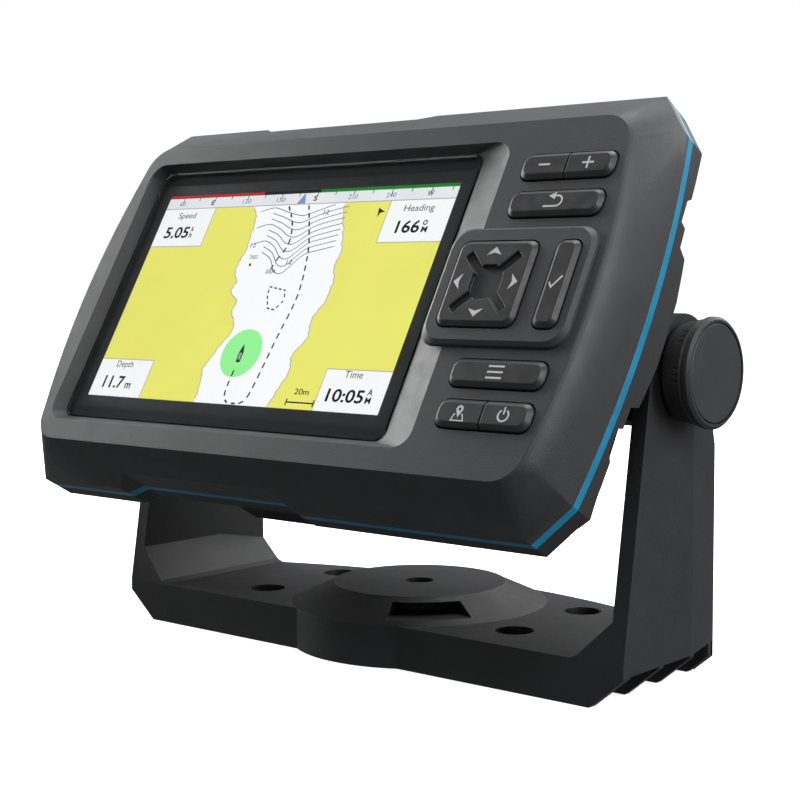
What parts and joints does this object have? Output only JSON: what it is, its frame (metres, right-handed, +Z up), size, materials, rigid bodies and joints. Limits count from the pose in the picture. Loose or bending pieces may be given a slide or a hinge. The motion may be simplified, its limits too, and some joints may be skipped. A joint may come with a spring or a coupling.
{
  "type": "chartplotter display",
  "caption": "Marine chartplotter display with a keypad beside its screen, docked in a quick-release cradle and clamped by knobs in a tilting bail mount.",
  "frame": {"origin": "centre of the four base screw holes, on the underside of the bail's base", "axes": "+X to the right of someone facing the screen, -Y towards that person, +Z up"},
  "size_m": [0.197, 0.1123, 0.1471],
  "materials": {
    "case_front": "fine-grained satin moulding",
    "case_rear": "fine-grained matt moulding",
    "trim_blue": "smooth satin moulding",
    "mount_plastic": "glass-filled nylon, fine matt grain",
    "cradle_plastic": "matt moulding",
    "latch_plastic": "matt moulding",
    "knob_plastic": "satin moulding with moulded grip lines",
    "knob_cap": "fine satin moulding",
    "steel": "bright stainless steel",
    "brass": "machined brass",
    "gold_contacts": "gold-plated contacts",
    "nylon": "natural nylon",
    "seal_rubber": "moulded black rubber",
    "keymat_rubber": "moulded silicone",
    "key_rubber": "coated silicone with a satin face",
    "cover_glass": "optically clear hardened glass",
    "lcd_surface": "liquid crystal panel",
    "backlight_plastic": "white diffuser",
    "tray_metal": "pressed sheet",
    "circuit_board": "green solder mask",
    "flex_circuit": "amber polyimide film",
    "connector_plastic": "natural nylon",
    "component_black": "matt black moulding",
    "transformer_tape": "polyester tape",
    "antenna_ceramic": "unglazed ceramic",
    "socket_plastic": "glass-filled nylon",
    "post_plastic": "moulded acetal"
  },
  "bodies": {
    "bail": {"bail_bracket": "mount_plastic"},
    "head": {"cradle": "cradle_plastic", "pivot_inserts": "brass", "friction_washers": "nylon", "latch_pin": "steel", "latch_spring": "steel", "front_bezel": "case_front", "trim_band": "trim_blue", "rear_housing": "case_rear", "housing_seal": "seal_rubber", "front_glass": "cover_glass", "glass_gasket": "seal_rubber", "lcd_panel": "lcd_surface", "backlight_unit": "backlight_plastic", "display_tray": "tray_metal", "display_screws": "steel", "keymat": "keymat_rubber", "keypad_board": "circuit_board", "keypad_switches": "steel", "main_board": "circuit_board", "board_screws": "steel", "processor_shield": "tray_metal", "sonar_transformer": "transformer_tape", "beeper": "component_black", "gps_antenna": "antenna_ceramic", "display_ribbon": "flex_circuit", "keypad_ribbon": "flex_circuit", "board_connectors": "connector_plastic", "power_socket": "socket_plastic", "sonar_socket": "socket_plastic", "socket_contacts": "gold_contacts", "socket_seals": "seal_rubber", "vent_plug": "component_black", "housing_screws": "steel"},
    "latch": {"latch_lever": "latch_plastic"},
    "left_slider": {"left_washer": "steel"},
    "left_clamp": {"left_knob": "knob_plastic", "left_knob_cap": "knob_cap", "left_stud": "steel"},
    "right_slider": {"right_washer": "steel"},
    "right_clamp": {"right_knob": "knob_plastic", "right_knob_cap": "knob_cap", "right_stud": "steel"},
    "pad_rocker": {"pad_post": "post_plastic"},
    "pad": {"direction_pad": "key_rubber"},
    "zoom_out": {"zoom_out_key": "key_rubber"},
    "zoom_in": {"zoom_in_key": "key_rubber"},
    "back": {"back_key": "key_rubber"},
    "enter": {"enter_key": "key_rubber"},
    "menu": {"menu_key": "key_rubber"},
    "waypoint": {"waypoint_key": "key_rubber"},
    "power": {"power_key": "key_rubber"}
  },
  "joints": [
    {"name": "head_tilt", "type": "hinge", "parent": "bail", "child": "head", "pos_m": [0, -0.0055, 0.0802], "axis": [-1, 0, 0], "range_deg": [-26, 40]},
    {"name": "right_knob_travel", "type": "slide", "parent": "head", "child": "right_slider", "axis": [1, 0, 0], "range_m": [0, 0.0021]},
    {"name": "right_knob_turn", "type": "hinge", "parent": "right_slider", "child": "right_clamp", "pos_m": [0, -0.0055, 0.0802], "axis": [1, 0, 0], "range_deg": [0, 720]},
    {"name": "left_knob_travel", "type": "slide", "parent": "head", "child": "left_slider", "axis": [-1, 0, 0], "range_m": [0, 0.0021]},
    {"name": "left_knob_turn", "type": "hinge", "parent": "left_slider", "child": "left_clamp", "pos_m": [0, -0.0055, 0.0802], "axis": [-1, 0, 0], "range_deg": [0, 720]},
    {"name": "latch_press", "type": "hinge", "parent": "head", "child": "latch", "pos_m": [0, 0.01987, 0.11855], "axis": [-1, 0, 0], "range_deg": [0, 12], "stiffness_Nm_per_rad": 0.4, "springref_deg": -5.73},
    {"name": "zoom_out_press", "type": "slide", "parent": "head", "child": "zoom_out", "axis": [0, 0.866, -0.5], "range_m": [0, 0.0007], "stiffness_N_per_m": 2500},
    {"name": "zoom_in_press", "type": "slide", "parent": "head", "child": "zoom_in", "axis": [0, 0.866, -0.5], "range_m": [0, 0.0007], "stiffness_N_per_m": 2500},
    {"name": "back_press", "type": "slide", "parent": "head", "child": "back", "axis": [0, 0.866, -0.5], "range_m": [0, 0.0007], "stiffness_N_per_m": 2500},
    {"name": "enter_press", "type": "slide", "parent": "head", "child": "enter", "axis": [0, 0.866, -0.5], "range_m": [0, 0.0007], "stiffness_N_per_m": 2500},
    {"name": "menu_press", "type": "slide", "parent": "head", "child": "menu", "axis": [0, 0.866, -0.5], "range_m": [0, 0.0007], "stiffness_N_per_m": 2500},
    {"name": "waypoint_press", "type": "slide", "parent": "head", "child": "waypoint", "axis": [0, 0.866, -0.5], "range_m": [0, 0.0007], "stiffness_N_per_m": 2500},
    {"name": "power_press", "type": "slide", "parent": "head", "child": "power", "axis": [0, 0.866, -0.5], "range_m": [0, 0.0007], "stiffness_N_per_m": 2500},
    {"name": "pad_up_down", "type": "hinge", "parent": "head", "child": "pad_rocker", "pos_m": [0.0653, -0.05004, 0.10026], "axis": [1, 0, 0], "range_deg": [-3, 3], "stiffness_Nm_per_rad": 0.5},
    {"name": "pad_left_right", "type": "hinge", "parent": "pad_rocker", "child": "pad", "pos_m": [0.0653, -0.05004, 0.10026], "axis": [0, 0.5, 0.866], "range_deg": [-3, 3], "stiffness_Nm_per_rad": 0.5}
  ],
  "couplings": [
    {"joint": "right_knob_travel", "follows": "right_knob_turn", "m_per_rad": 0.00015915},
    {"joint": "left_knob_travel", "follows": "left_knob_turn", "m_per_rad": 0.00015915}
  ]
}
